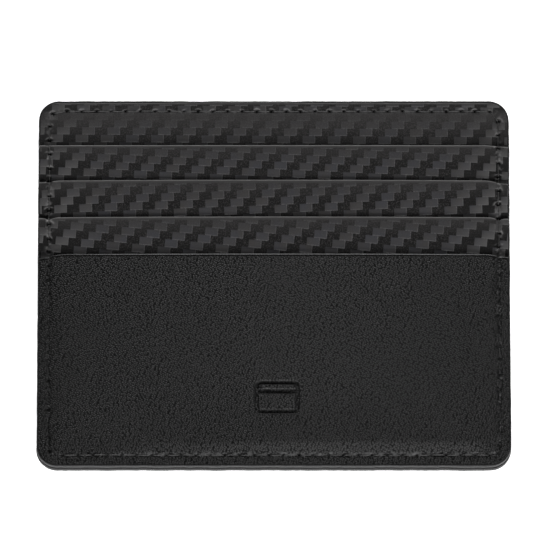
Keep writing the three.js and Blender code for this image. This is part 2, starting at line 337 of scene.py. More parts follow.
# ---------------------------------------------------------------------------------------------------
# Materials
# ---------------------------------------------------------------------------------------------------
class Nodes:
    """A material's node tree, with short calls for the nodes that the patterns here are made of."""

    def __init__(self, name):
        self.material = bpy.data.materials.new(name)
        self.material.use_nodes = True
        self.tree = self.material.node_tree
        self.shader = self.tree.nodes["Principled BSDF"]
        self.place = self.tree.nodes.new("ShaderNodeTexCoord").outputs["Object"]

    def plug(self, socket, value):
        """Feeds a socket from another node, or sets it."""
        if hasattr(value, "links"):
            self.tree.links.new(value, socket)
        else:
            socket.default_value = value

    def math(self, kind, *values):
        """A sum on plain numbers, of the kind that Blender's Math node names."""
        node = self.tree.nodes.new("ShaderNodeMath")
        node.operation = kind
        for socket, value in zip(node.inputs, values):
            self.plug(socket, value)
        return node.outputs[0]

    def moved(self, scale, turn=0.0):
        """Places in millimetres, turned about Z and stretched by scale."""
        spin = self.tree.nodes.new("ShaderNodeMapping")
        spin.inputs["Rotation"].default_value = (0, 0, turn)
        spin.inputs["Scale"].default_value = (1000, 1000, 1000)
        self.plug(spin.inputs["Vector"], self.place)
        stretch = self.tree.nodes.new("ShaderNodeMapping")
        stretch.inputs["Scale"].default_value = scale
        self.plug(stretch.inputs["Vector"], spin.outputs[0])
        return stretch.outputs[0]

    def noise(self, scale, detail=2.0, stretch=(1, 1, 1), rough=0.5, distortion=0.0):
        """Soft noise from 0 to 1, with scale bumps to the millimetre."""
        node = self.tree.nodes.new("ShaderNodeTexNoise")
        self.plug(node.inputs["Vector"], self.moved(stretch))
        node.inputs["Scale"].default_value = scale
        node.inputs["Detail"].default_value = detail
        node.inputs["Roughness"].default_value = rough
        node.inputs["Distortion"].default_value = distortion
        return node.outputs["Fac"]

    def pebbles(self, scale, stretch, turn):
        """1 on the crown of each pebble, falling to 0 in the furrows between them. There are scale
        pebbles to the millimetre."""
        node = self.tree.nodes.new("ShaderNodeTexVoronoi")
        node.voronoi_dimensions = "2D"
        self.plug(node.inputs["Vector"], self.moved(stretch, turn))
        node.inputs["Scale"].default_value = scale
        node.inputs["Randomness"].default_value = 0.7
        return self.spread(node.outputs["Distance"], 0.65, 0.08)

    def spread(self, value, low, high, new_low=0.0, new_high=1.0):
        """new_low where value is low, new_high where it is high, and between them on the way."""
        node = self.tree.nodes.new("ShaderNodeMapRange")
        for socket, number in zip(node.inputs[:5], (value, low, high, new_low, new_high)):
            self.plug(socket, number)
        return node.outputs[0]

    def blend(self, share, first, second):
        """A plain number between two others."""
        from_first = self.math("MULTIPLY", self.math("SUBTRACT", 1, share), first)
        return self.math("ADD", from_first, self.math("MULTIPLY", share, second))

    def colour(self, share, first, second):
        """A colour between two others."""
        node = self.tree.nodes.new("ShaderNodeMix")
        node.data_type = "RGBA"
        self.plug(node.inputs["Factor"], share)
        self.plug(node.inputs["A"], (*first, 1) if isinstance(first, tuple) else first)
        self.plug(node.inputs["B"], (*second, 1) if isinstance(second, tuple) else second)
        return node.outputs["Result"]

    def tone(self):
        """The light and shade painted on the piece at each point."""
        node = self.tree.nodes.new("ShaderNodeAttribute")
        node.attribute_name = "tone"
        return node.outputs["Fac"]

    def with_painted_shading(self, colour, pale, dark):
        """A colour turned towards a painted highlight or towards painted shade by the light and shade
        painted on the piece.
        """
        tone = self.tone()
        highlighted = self.colour(self.spread(tone, 0, 1), colour, pale)
        return self.colour(self.spread(tone, 0, -1), highlighted, dark)

    def bump(self, height, strength, distance):
        """Gives the shader small relief, from a height in units of distance."""
        node = self.tree.nodes.new("ShaderNodeBump")
        node.inputs["Strength"].default_value = strength
        node.inputs["Distance"].default_value = distance
        self.plug(node.inputs["Height"], height)
        self.plug(self.shader.inputs["Normal"], node.outputs[0])

    def split(self, vector):
        """A vector's X and Y."""
        node = self.tree.nodes.new("ShaderNodeSeparateXYZ")
        self.plug(node.inputs[0], vector)
        return node.outputs["X"], node.outputs["Y"]

    def finish(self, colour, roughness, **sockets):
        """Sets the shader, and returns the material. A socket's name has _ where Blender has a space."""
        self.plug(self.shader.inputs["Base Color"], (*colour, 1) if isinstance(colour, tuple) else colour)
        self.plug(self.shader.inputs["Roughness"], roughness)
        for name, value in sockets.items():
            self.shader.inputs[name.replace("_", " ")].default_value = value
        return self.material


# The near black that painted shade turns a colour to
PAINTED_SHADE_BLACK = (0.001, 0.001, 0.001)


def smooth_leather(name):
    """Black nappa: fine pebbles, a little drawn out along a slant, with painted shade in the furrows
    between them. Where a highlight is painted on, the grain is flattened and the colour painted pale.
    """
    n = Nodes(name)
    ridge = n.pebbles(2.6, (0.72, 1, 1), 0.42)
    patches = n.spread(n.noise(0.09, detail=3), 0.35, 0.65)
    # Where a highlight is painted on, the grain is flattened under it
    flat_under_highlight = n.blend(n.spread(n.tone(), 0.1, 0.4), ridge, 0.6)
    n.bump(flat_under_highlight, 1.0, 0.13 * MM)
    roughness = n.blend(patches, 0.43, 0.5)
    crest = n.colour(patches, (0.019, 0.019, 0.0193), (0.026, 0.026, 0.0263))
    # Painted shade: the furrows between the pebbles are near black, and the crowns lighter as painted
    # highlight
    colour = n.colour(ridge, (0.0006, 0.0006, 0.0007), crest)
    # The pale colour of a painted highlight
    pale = n.colour(flat_under_highlight, (0.01, 0.01, 0.0102), (0.33, 0.33, 0.333))
    colour = n.with_painted_shading(colour, pale, PAINTED_SHADE_BLACK)
    return n.finish(colour, roughness, Specular_IOR_Level=0.2)


# The embossed twill: a smooth patch is half a repeat long and one row high, and each row starts a little
# over a quarter of a repeat to the left of the one above
TWILL_STEP = 0.262

# Every sheet was cut from its own place on the embossed hide, so each has its own twill: the corner of one
# patch (mm), the turn (degrees), the lengths of a repeat and a row (mm), and how clear the print is at its
# clearest and at its faintest
PANEL_WEAVE = dict(start=(1.45, 20.8), turn=0.36, repeat=5.355, row=1.631, depth=0.75, faintest=0.1)
STRIP_WEAVES = (
    dict(start=(0.12, 21.4), turn=2.57, repeat=5.36, row=1.629, depth=0.95, faintest=0.3),
    dict(start=(4.95, 21.85), turn=-2.14, repeat=5.335, row=1.7, depth=1.0, faintest=0.3),
    dict(start=(-0.2, 22.25), turn=5.7, repeat=5.405, row=1.701, depth=1.0, faintest=0.3),
)


def twill(n, lie):
    """The embossed pattern: 1 in the smooth patches and 0 in the rough ones, then the share of the way
    along a patch and the share of the way down it."""
    spin = n.tree.nodes.new("ShaderNodeMapping")
    spin.inputs["Rotation"].default_value = (0, 0, math.radians(lie["turn"]))
    n.plug(spin.inputs["Vector"], n.place)
    turned_x, turned_y = n.split(spin.outputs[0])
    start_x, start_y = lie["start"]
    rows = n.math("DIVIDE", n.math("SUBTRACT", start_y * MM, turned_y), lie["row"] * MM)
    row = n.math("FLOOR", rows)
    repeats = n.math("DIVIDE", n.math("SUBTRACT", turned_x, start_x * MM), lie["repeat"] * MM)
    along = n.math("FRACT", n.math("ADD", repeats, n.math("MULTIPLY", row, TWILL_STEP)))
    in_patch = n.math("FRACT", n.math("MULTIPLY", along, 2))
    return n.math("LESS_THAN", along, 0.5), in_patch, n.math("FRACT", rows)


def print_clearness(n, y, lie, mouth, worn):
    """How much of a sheet is printed at all, since its mouth edge is worn smooth, and how clear the print
    is. It is faintest just below the height given by worn."""
    printed = n.spread(n.math("SUBTRACT", mouth, y), 0.35 * MM, 0.75 * MM)
    below_worn = n.math("SUBTRACT", worn, y)
    below = n.spread(below_worn, 0.3 * MM, 4.5 * MM, lie["faintest"], lie["depth"])
    above = n.spread(below_worn, -0.6 * MM, -1.3 * MM, lie["faintest"], lie["depth"])
    return printed, n.math("MAXIMUM", below, above)


def smooth_patches(n, in_patch, in_row, painted_end_contrast, speck):
    """The colour of the smooth patches. The pattern is the leather's own, but their lighter colour is a
    painted reflection off their fine lines, with a painted gradient lighter down and to the right, a
    painted highlight strongest near the sheet's ends, and painted highlights where light is caught on
    their right and lower sides."""
    # A painted gradient of light across each dished patch, lighter down and to the right
    painted_gradient = n.math("MULTIPLY", n.math("ADD", in_patch, in_row), 0.5)
    lit_side = n.math("MAXIMUM", n.spread(in_patch, 0.9, 0.97), n.spread(in_row, 0.86, 0.95))
    lit_side = n.math("MULTIPLY", lit_side, n.spread(speck, 0.36, 0.62))
    tint = n.noise(0.35, detail=3)
    colour = n.colour(painted_gradient, (0.038, 0.036, 0.0358), (0.06, 0.0565, 0.0562))
    colour = n.colour(n.spread(tint, 0.35, 0.65), colour, (0.045, 0.0455, 0.052))
    colour = n.colour(n.spread(speck, 0.45, 0.75, 0, 0.3), colour, (0.085, 0.082, 0.082))
    colour = n.colour(n.math("MULTIPLY", painted_end_contrast, painted_gradient), colour, (0.105, 0.103, 0.102))
    return n.colour(lit_side, colour, (0.13, 0.128, 0.129))


def rough_patches(n, painted_end_contrast, speck):
    """The colour of the rough patches: almost black, speckled, and near the sheet's ends plain and painted
    darker as shade.
    """
    deep = (0.0009, 0.0008, 0.0008)
    colour = n.colour(n.spread(speck, 0.5, 0.72), deep, (0.05, 0.046, 0.046))
    return n.colour(n.math("MULTIPLY", painted_end_contrast, 0.75), colour, deep)


def woven_leather(name, lie, mouth, worn):
    """Black leather embossed with a twill, between its mouth edge, which is worn smooth, and the seam."""
    n = Nodes(name)
    smooth, in_patch, in_row = twill(n, lie)
    x, y = n.split(n.place)
    printed, clearness = print_clearness(n, y, lie, mouth, worn)
    pattern = n.math("MULTIPLY", smooth, n.math("MULTIPLY", printed, clearness))
    # Towards the sheet's ends light and shade are painted on: smooth patches lighter, rough ones plainer
    # and darker
    painted_end_contrast = n.spread(n.math("ABSOLUTE", x), 36 * MM, 45 * MM)
    speck = n.noise(3.8, detail=2, rough=0.6)

    # A smooth patch is dished, and lies lower than the rough ones, which are grained
    from_middle = n.math(
        "MAXIMUM",
        n.math("ABSOLUTE", n.math("SUBTRACT", in_patch, 0.5)),
        n.math("ABSOLUTE", n.math("SUBTRACT", in_row, 0.5)),
    )
    dish = n.math("POWER", n.math("MULTIPLY", from_middle, 2), 5)
    pressed = n.math("MULTIPLY", pattern, n.math("SUBTRACT", n.math("MULTIPLY", dish, 0.8), 1.3))
    rough = n.math("SUBTRACT", 1, pattern)
    grain = n.math("MULTIPLY", rough, n.math("MULTIPLY", speck, 0.5))
    n.bump(n.math("ADD", pressed, grain), 0.6, 0.07 * MM)

    bright = smooth_patches(n, in_patch, in_row, painted_end_contrast, speck)
    dark = rough_patches(n, painted_end_contrast, speck)
    faint = n.colour(n.spread(speck, 0.4, 0.65), (0.027, 0.0255, 0.0255), (0.045, 0.043, 0.043))
    print_colour = n.colour(clearness, faint, n.colour(smooth, dark, bright))
    colour = n.colour(printed, (0.045, 0.0435, 0.0435), print_colour)
    # Painted highlight and painted shade from the light and shade painted on the piece
    colour = n.with_painted_shading(colour, (0.3, 0.295, 0.295), PAINTED_SHADE_BLACK)
    roughness = n.blend(pattern, n.blend(printed, 0.42, 0.8), 0.36)
    return n.finish(colour, roughness, Specular_IOR_Level=0.3)


def edge_paint(name):
    """Dark grey acrylic on a cut leather edge: satin, with the fibres showing through as specks."""
    n = Nodes(name)
    fibres = n.noise(3.2, detail=4, stretch=(1, 1, 2.5), rough=0.65)
    lumps = n.noise(0.9, detail=2)
    n.bump(n.math("ADD", fibres, lumps), 0.6, 0.12 * MM)
    colour = n.colour(n.spread(fibres, 0.4, 0.65), (0.011, 0.011, 0.0115), (0.035, 0.0345, 0.035))
    return n.finish(colour, n.blend(lumps, 0.45, 0.65), Specular_IOR_Level=0.25)


def waxed_thread(name):
    """Black waxed polyester: glossy, with fine lines along the twist."""
    n = Nodes(name)
    strands = n.noise(9.0, detail=2)
    n.bump(strands, 0.4, 0.04 * MM)
    colour = n.colour(strands, (0.012, 0.012, 0.012), (0.06, 0.059, 0.059))
    return n.finish(colour, n.blend(strands, 0.35, 0.5), Specular_IOR_Level=0.5)


def lining_cloth(name):
    """A fine black plain weave."""
    n = Nodes(name)
    threads = []
    for stretch in ((1, 0.02, 0.02), (0.02, 1, 0.02)):
        wave = n.tree.nodes.new("ShaderNodeTexWave")
        n.plug(wave.inputs["Vector"], n.moved(stretch))
        wave.inputs["Scale"].default_value = 1.6
        wave.bands_direction = "DIAGONAL"
        threads.append(wave.outputs["Fac"])
    crossings = n.math("MULTIPLY", threads[0], threads[1])
    n.bump(crossings, 0.5, 0.05 * MM)
    colour = n.colour(crossings, (0.006, 0.006, 0.007), (0.02, 0.02, 0.021))
    return n.finish(colour, n.blend(crossings, 0.95, 0.8))


def shield_foil(name):
    """Rolled foil with fine lines along X."""
    n = Nodes(name)
    lines_along = n.noise(1.5, detail=4, stretch=(0.05, 3, 1))
    n.bump(lines_along, 0.2, 0.02 * MM)
    colour = n.colour(lines_along, (0.55, 0.56, 0.58), (0.7, 0.71, 0.73))
    return n.finish(colour, n.blend(lines_along, 0.25, 0.45), Metallic=1.0)


def leather_board(name):
    """Pressed board of brown leather fibres."""
    n = Nodes(name)
    fibres = n.noise(2.2, detail=5, stretch=(1, 0.3, 1), rough=0.7, distortion=0.6)
    n.bump(fibres, 0.4, 0.08 * MM)
    colour = n.colour(n.spread(fibres, 0.35, 0.65), (0.035, 0.026, 0.02), (0.1, 0.075, 0.055))
    return n.finish(colour, n.blend(fibres, 0.95, 0.8))


nappa = smooth_leather("nappa")
paint = edge_paint("edge_paint")
thread = waxed_thread("waxed_thread")
cloth = lining_cloth("lining_cloth")
foil = shield_foil("shield_foil")
board = leather_board("leather_board")


# ---------------------------------------------------------------------------------------------------
# Shapes that the front sheets share
# ---------------------------------------------------------------------------------------------------
def seam_relief(x, y, puff, pucker, pit):
    """The seam presses a line into the leather, which stands puffed inside it and drops a little on
    from it to the rim. It puckers the leather into lumps, and each stitch pulls in a pit. Returns the
    relief and its painted light and shade: painted shade in the pits and along the groove by the side
    seams, painted highlights on the crescents over the holes, and painted highlights and shade on the
    lumps."""
    hole_radius, deep_pit = 0.27 * MM, 0.4 * MM
    line_depth, line_width = 0.12 * MM, 0.4 * MM
    rim_drop = 0.12 * MM
    lump_size, small_lump_size = 0.75 * MM, 0.36 * MM
    depth = rim_distance(x, y)
    by_seam = hump(depth - SEAM_INSET, 0.7 * MM)
    lumps = (noise(x, y, lump_size, 11) + noise(x, y, small_lump_size, 12)) * by_seam
    at_side = ramp(np.abs(x), 45 * MM, 47 * MM)
    hole, crescent = hole_shares(x, y, front_holes, hole_radius)
    relief = -line_depth * hump(depth - SEAM_INSET, line_width)
    relief -= rim_drop * (1 - ramp(depth, 0.3 * MM, 2.2 * MM))
    relief += puff * ramp(depth, SEAM_INSET + 0.1 * MM, SEAM_INSET + 3 * MM)
    relief += pucker * lumps + pit * (0.3 * crescent - hole)
    # Painted shade in the holes and painted highlight on their crescents, painted highlights and shade on
    # the lumps, painted shade along the side seams
    tone = np.clip(pit / deep_pit * (0.6 * crescent - 1.4 * hole), -1, 1)
    tone += pucker / MM * np.clip((1.6 + 2.6 * at_side) * lumps - at_side * by_seam, -2.4, 3)
    return relief, tone


def seam_spans():
    """The spans of x where the seam's left and right columns need a fine grid."""
    seam = HALF_WIDTH - SEAM_INSET
    near, step = 1.1 * MM, 0.14 * MM
    return [(-seam - near, -seam + near, step), (seam - near, seam + near, step)]


def weave_relief(x, y, lie, mouth):
    """The embossed twill in the round: the smooth patches are pressed in. The material lays the same
    pattern over it."""
    print_depth, wall_width = 0.04 * MM, 0.22 * MM
    turn = math.radians(lie["turn"])
    turned_x = x * math.cos(turn) - y * math.sin(turn)
    turned_y = x * math.sin(turn) + y * math.cos(turn)
    start_x, start_y = lie["start"]
    repeat, row = lie["repeat"] * MM, lie["row"] * MM
    rows = (start_y * MM - turned_y) / row
    along = (turned_x - start_x * MM) / repeat + np.floor(rows) * TWILL_STEP
    along = (along % 1) * repeat
    in_row = (rows % 1) * row
    from_side = np.minimum(along, repeat / 2 - along)
    from_end = np.minimum(in_row, row - in_row)
    pressed = ramp(np.minimum(from_side, from_end), 0, wall_width)
    return -print_depth * pressed * lie["depth"] * ramp(mouth - y, 0.4 * MM, 0.9 * MM)


FOLD_DEPTH = 0.14 * MM


def behind_mouth(y, mouth):
    """Where a sheet passes under the mouth of the next one: how much a point lies in the fold there,
    and its painted light and shade, which is painted shade in the fold itself and a faint painted highlight
    above it."""
    above = np.maximum(y - mouth, 0)
    tone = 0.025 * hump(above, 1.8 * MM) - 0.35 * hump(above, 0.22 * MM)
    return hump(above, 0.5 * MM), tone


def front_pocket():
    """The smooth pocket: puffed inside its seam, creased along its mouth and pressed with the sign."""
    half_width, mouth, low_end = pocket["half_width"], pocket["mouth"], pocket["end"]
    inset = HALF_WIDTH - half_width
    lip_radius, rim_radius = 0.4 * MM, 0.22 * MM
    crease_depth, sign_press, sign_rise = 0.15 * MM, 0.34 * MM, 0.05 * MM

    step, fine_step = 0.31 * MM, 0.13 * MM
    sign_x, sign_y = SIGN_CENTRE
    fine_x = [(sign_x - 5.4 * MM, sign_x + 5.4 * MM, fine_step), *seam_spans()]
    fine_y = [
        (sign_y - 4.2 * MM, sign_y + 4.2 * MM, fine_step),
        (mouth - 0.9 * MM, mouth, 0.05 * MM),
        (low_end + 1.5 * MM, low_end + 3.2 * MM, 0.14 * MM),
    ]
    columns = lines(-half_width, half_width, step, fine_x)
    levels = lines(low_end, mouth, step, fine_y)
    y = np.repeat(levels[:, None], len(columns), axis=1)
    x = (columns / half_width)[None, :] * row_half_width(y, inset)
    below_mouth = mouth - y
    droop = mouth_sag(x, left=0.85, right=0.6, dip=0.15, bow=0.15)
    y = y - hump(below_mouth, MOUTH_REACH) * droop

    puff = 0.3 * MM * (1 - 0.7 * hump(below_mouth, 5 * MM))
    relief, tone = seam_relief(x, y, puff, pucker=0.15 * MM, pit=0.16 * MM)
    crease = ramp(below_mouth, 0.22 * MM, 0.4 * MM) * (1 - ramp(below_mouth, 0.52 * MM, 0.64 * MM))
    sign = sign_depth(x, y)
    sign_crest = np.clip(sign_depth(x, y - 0.2 * MM) - sign, 0, 1)
    z = plane(pocket, mouth - below_mouth) + relief
    z += 0.05 * MM * noise(x, y, 17 * MM, 21) + 0.02 * MM * noise(x, y, 6 * MM, 22)
    z -= crease_depth * crease + sign_press * sign - sign_rise * sign_crest
    z -= bullnose(below_mouth, lip_radius) + bullnose(rim_distance(x, y) - inset, rim_radius)

    # Painted highlight along the mouth's lip, painted shade in the crease and the pressed sign, painted
    # highlight on the sign's upper rim, the seams' painted light and shade, a faint painted sheen in the
    # middle and painted shade towards the left
    tone += 0.7 * hump(below_mouth - 0.1 * MM, 0.2 * MM) - crease - 0.55 * sign + 0.3 * sign_crest
    tone += pocket_seam_shading(x, y)
    tone += 0.03 * hump(x - 5 * MM, 22 * MM) - 0.26 * ramp(-x, 26 * MM, 49 * MM)
    vertices, faces, painted_shadings = sheet_solid(
        x, y, z, lambda px, py: plane(pocket, py) - POCKET_LEATHER, THICK_EDGE_BULGE, tone
    )
    new_piece("front_pocket_leather", vertices, faces, nappa, ["front_pocket"], painted_shadings)


def pocket_seam_shading(x, y):
    """Painted light and shade along the pocket's seams: painted shade on its border and in the groove just
    inside its side seams. Along the bottom seam a painted highlight lies on the puffed leather instead,
    more so towards the right."""
    depth = rim_distance(x, y)
    inside = depth - SEAM_INSET
    low_down = ramp(-y, HALF_HEIGHT - 7 * MM, HALF_HEIGHT - 4 * MM)
    at_bottom = low_down * ramp(-np.abs(x), -48.6 * MM, -45.5 * MM)
    # Painted shade on the border and in the groove inside the side seams
    border = 0.35 * (1 - ramp(inside, -0.8 * MM, 0)) + 0.25 * (1 - ramp(depth, 0, 0.7 * MM))
    groove = 0.25 * hump(inside - 0.8 * MM, 0.55 * MM) + 0.15 * hump(inside, 7 * MM) * (inside > 0)
    # A painted highlight on the puffed leather inside the bottom seam, stronger towards the right
    highlighted = 0.03 + 0.11 * ramp(x, -46 * MM, 30 * MM)
    highlighted *= 1 - 0.9 * ramp(x, 41 * MM, 46 * MM)
    ridge = 0.13 * hump(inside - 0.2 * MM, 0.4 * MM) + highlighted * hump(inside - 1.8 * MM, 2.4 * MM)
    return ridge * at_bottom - groove * (1 - at_bottom) - border


def mouth_sag(x, left, right, dip, bow):
    """How far a mouth edge droops, from numbers in mm: towards its left and right ends, and by dip where
    the seam pulls it down. Between the seams it bows upwards a little."""
    to_end = ramp(np.abs(x), 44.5 * MM, HALF_WIDTH)
    from_seam = np.abs(x) - (HALF_WIDTH - SEAM_INSET)
    sag = np.where(x < 0, left, right) * to_end + dip * hump(from_seam, 0.8 * MM)
    return (sag - bow * (1 - (x / HALF_WIDTH) ** 2)) * MM


def sign_depth(x, y):
    """Where a small sign is pressed in, 0 to 1: the outline of a card with a stripe across it."""
    half_width, half_height, corner = 4.7 * MM, 3.5 * MM, 1.2 * MM
    line, stripe, stripe_foot = 0.8 * MM, 1.0 * MM, 0.7 * MM
    across, up = x - SIGN_CENTRE[0], y - SIGN_CENTRE[1]
    past_x = np.abs(across) - half_width + corner
    past_y = np.abs(up) - half_height + corner
    outside = np.hypot(np.maximum(past_x, 0), np.maximum(past_y, 0))
    edge = corner - outside - np.minimum(np.maximum(past_x, past_y), 0)
    border = np.minimum(edge, line - edge)
    bar = np.minimum(stripe / 2 - np.abs(up - stripe_foot - stripe / 2), edge)
    return ramp(np.maximum(border, bar), -0.14 * MM, 0.16 * MM)


# Each strip lies a little differently: how far its mouth droops at the left, at the right and at the
# seam, how far it bows up, and how far its ends stand out (mm)
STRIP_SHAPES = (
    dict(left=-0.1, right=0.3, dip=0.05, bow=0.05, flare=0.0),
    dict(left=0.3, right=0.7, dip=0.1, bow=0.2, flare=0.28),
    dict(left=0.1, right=0.25, dip=0.45, bow=0.2, flare=0.25),
)


def slot_strip(index):
    """A leather strip that laps over the one behind it, held down by the seam at both ends."""
    name, lean, shape, lie = STRIP_NODES[index], strips[index], STRIP_SHAPES[index], STRIP_WEAVES[index]
    half, mouth = lean["half_width"], lean["mouth"]
    next_mouth = (*strips, pocket)[index + 1]["mouth"]
    side_radius, lip_radius = 0.2 * MM, 0.42 * MM

    columns = lines(-half, half, 0.18 * MM, seam_spans())
    levels = lines(lean["end"], mouth, 0.15 * MM, [(mouth - 0.8 * MM, mouth, 0.09 * MM)])
    x, y = np.meshgrid(columns, levels)
    below_mouth = mouth - y
    near_corner = hump(below_mouth - 1.4 * MM, 0.9 * MM) * ramp(np.abs(x), half - 2 * MM, half)
    flare = shape["flare"] * MM * near_corner
    x = x + np.sign(x) * flare
    droop = mouth_sag(x, shape["left"], shape["right"], shape["dip"], shape["bow"])
    y = y - hump(below_mouth, MOUTH_REACH) * droop

    relief, tone = seam_relief(x, y, puff=0.2 * MM, pucker=0.09 * MM, pit=0.4 * MM)
    fold, fold_shading = behind_mouth(y, next_mouth)
    z = plane(lean, mouth - below_mouth) + relief
    z += 0.03 * MM * noise(x, y, 14 * MM, 31 + index) - FOLD_DEPTH * fold
    z += weave_relief(x, y, lie, mouth)
    side = half + flare - np.abs(x)
    z -= np.maximum(bullnose(side, side_radius), bullnose(below_mouth, lip_radius))

    # Painted highlight along the mouth's lip, and the fold's painted shade
    tone += 0.2 * hump(below_mouth - 0.1 * MM, 0.2 * MM) + fold_shading
    look = woven_leather(f"woven_strip_{index + 1}", lie, mouth, worn=mouth)
    vertices, faces, painted_shadings = sheet_solid(
        x, y, z, lambda px, py: plane(lean, py) - STRIP_LEATHER, THIN_EDGE_BULGE, tone
    )
    new_piece(f"{name}_leather", vertices, faces, look, [name], painted_shadings)


def top_panel():
    """The panel behind the slots, with the seam's top row along its upper edge."""
    half_width, top = panel_high.x, panel_high.y
    inset = HALF_WIDTH - half_width
    seam = HALF_HEIGHT - SEAM_INSET
    rim_radius = 0.3 * MM

    columns = lines(-half_width, half_width, 0.16 * MM)
    levels = lines(panel_low.y, top, 0.2 * MM, [(seam - 0.9 * MM, seam + 0.9 * MM, 0.13 * MM)])
    y = np.repeat(levels[:, None], len(columns), axis=1)
    x = (columns / half_width)[None, :] * row_half_width(y, inset)
    wave = 0.09 * MM * noise(x, np.zeros_like(y), 9 * MM, 41)
    y = y + wave * ramp(y, top - 3 * MM, top)
    from_rim = rim_distance(x, y - wave)

    relief, tone = seam_relief(x, y, puff=0.06 * MM, pucker=0.05 * MM, pit=0.42 * MM)
    fold, fold_shading = behind_mouth(y, strips[0]["mouth"])
    z = panel_high.z + relief + 0.03 * MM * noise(x, y, 12 * MM, 42) - FOLD_DEPTH * fold
    z += weave_relief(x, y, PANEL_WEAVE, seam)
    z -= bullnose(np.maximum(from_rim - inset, 0), rim_radius)

    # Painted highlight along the rim, and the fold's painted shade
    tone += 0.15 * (1 - ramp(from_rim, 0, 0.6 * MM)) + fold_shading
    look = woven_leather("woven_panel", PANEL_WEAVE, HALF_HEIGHT - 0.3 * MM, worn=seam - 1 * MM)
    vertices, faces, painted_shadings = sheet_solid(
        x, y, z, lambda px, py: np.full_like(px, panel_low.z), THIN_EDGE_BULGE, tone
    )
    new_piece("top_panel_leather", vertices, faces, look, ["top_panel"], painted_shadings)


def back_panel():
    """The plain back: flat where it rests, pressed in along its seam and rounded at its rim. It is made
    lying face up, and turned over about Y."""
    low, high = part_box("back_panel")
    inset = HALF_WIDTH - high.x
    rim_radius, hole_radius = 0.3 * MM, 0.34 * MM
    hole_depth, line_depth, rim_drop = 0.3 * MM, 0.3 * MM, 0.05 * MM
    step = 0.34 * MM

    columns = lines(-high.x, high.x, step)
    levels = lines(low.y, high.y, step)
    y = np.repeat(levels[:, None], len(columns), axis=1)
    x = (columns / high.x)[None, :] * row_half_width(y, inset)
    depth = rim_distance(x, y)
    hole, crescent = hole_shares(x, y, back_holes, hole_radius)
    lift = line_depth * hump(depth - SEAM_INSET, 0.4 * MM)
    lift += rim_drop * (1 - ramp(depth, 0.3 * MM, 2 * MM))
    lift += hole_depth * (hole - 0.2 * crescent)
    lift += 0.015 * MM * (1 + noise(x, y, 15 * MM, 51))
    lift += bullnose(depth - inset, rim_radius)
    lift = np.maximum(lift, 0)

    # Painted shade in the needle holes and painted highlight on their crescents
    tone = np.clip(0.3 * crescent - 0.9 * hole, -1, 1)
    vertices, faces, painted_shadings = sheet_solid(
        -x, y, -lift, lambda px, py: np.full_like(px, -high.z), THICK_EDGE_BULGE, tone
    )
    vertices = vertices * np.array([1, 1, -1])
    new_piece("back_panel_leather", vertices, faces, nappa, ["back_panel"], painted_shadings)


# ---------------------------------------------------------------------------------------------------
# Thread
# ---------------------------------------------------------------------------------------------------
def front_height(x, y):
    """The height of the front surface at a point on the seam, with every lap counted. At the pocket's
    sides the thread is pulled deeper into the leather."""
    sag, deeper = 0.5 * MM, 0.15 * MM
    surface = panel_high.z
    for lean in (*strips, pocket):
        if y < lean["mouth"] - sag:
            surface = plane(lean, y)
    at_pocket_side = abs(x) > 46 * MM and y < pocket["mouth"]
    return surface - deeper if at_pocket_side else surface


def tube(path, radius, sides=8, twist=2.2 / MM):
    """A two-ply thread along a path: a tube whose section has two lobes that turn as it goes, by twist
    radians a metre."""
    lobe_rise = 0.16
    path = np.array(path)
    ahead = np.gradient(path, axis=0)
    ahead /= np.linalg.norm(ahead, axis=1, keepdims=True)
    run = np.concatenate([[0], np.cumsum(np.linalg.norm(np.diff(path, axis=0), axis=1))])
    side = np.cross(ahead, [0, 0, 1.0])
    side /= np.linalg.norm(side, axis=1, keepdims=True) + 1e-12
    over = np.cross(side, ahead)
    vertices, faces = [], []
    for i, centre in enumerate(path):
        for k in range(sides):
            angle = 2 * math.pi * k / sides
            lobe = radius * (1 + lobe_rise * math.cos(2 * (angle - twist * run[i])))
            vertices.append(centre + lobe * (math.cos(angle) * side[i] + math.sin(angle) * over[i]))
    for i in range(len(path) - 1):
        for k in range(sides):
            m = (k + 1) % sides
            faces.append([i * sides + k, i * sides + m, (i + 1) * sides + m, (i + 1) * sides + k])
    faces.append(list(range(sides))[::-1])
    faces.append([(len(path) - 1) * sides + k for k in range(sides)])
    return np.array(vertices), faces


# The first half of a stitch's path, as (share of the way, height in mm): up out of a hole, then pressed
# flat. The second half mirrors it.
HALF_STITCH = ((0.05, -0.5), (0.08, -0.32), (0.12, -0.16), (0.19, -0.03), (0.3, -0.05), (0.42, -0.08))
STITCH_PATH = (*HALF_STITCH, *((1 - share, height) for share, height in reversed(HALF_STITCH)))
FRONT_SLACK = -0.05 * MM  # the front stitches are drawn a little into the leather
BACK_SURFACE = 0.3 * MM  # the floor of the back's seam line


def stitches(name, holes, surface, up, replaces, slack):
    """One stitch from each needle hole to the next, joined in one piece. surface gives the leather's
    height, up is 1 on the front and -1 on the back, and slack lifts the thread."""
    most_bow = 0.06
    vertices, faces, count = [], [], 0
    rng = np.random.default_rng(7)
    for index, start in enumerate(holes):
        end = holes[(index + 1) % len(holes)]
        bow = rng.uniform(-most_bow, most_bow) * MM
        step = end - start
        normal = np.array([-step[1], step[0]]) / (np.linalg.norm(step) + 1e-12)
        path = []
        for share, height in STITCH_PATH:
            x, y = start + step * share + normal * bow * math.sin(math.pi * share)
            path.append((x, y, surface(x, y) + up * (height * MM + slack)))
        points, walls = tube(path, THREAD_RADIUS)
        vertices.append(points)
        faces.extend([[corner + count for corner in wall] for wall in walls])
        count += len(points)
    new_piece(name, np.concatenate(vertices), faces, thread, replaces)


# ---------------------------------------------------------------------------------------------------
# Painted edges
# ---------------------------------------------------------------------------------------------------
CORNER_STEPS = 12
PAINT_STEP = 0.35 * MM
PAINT_DEPTH = 0.27  # how far in a bead reaches, in mm

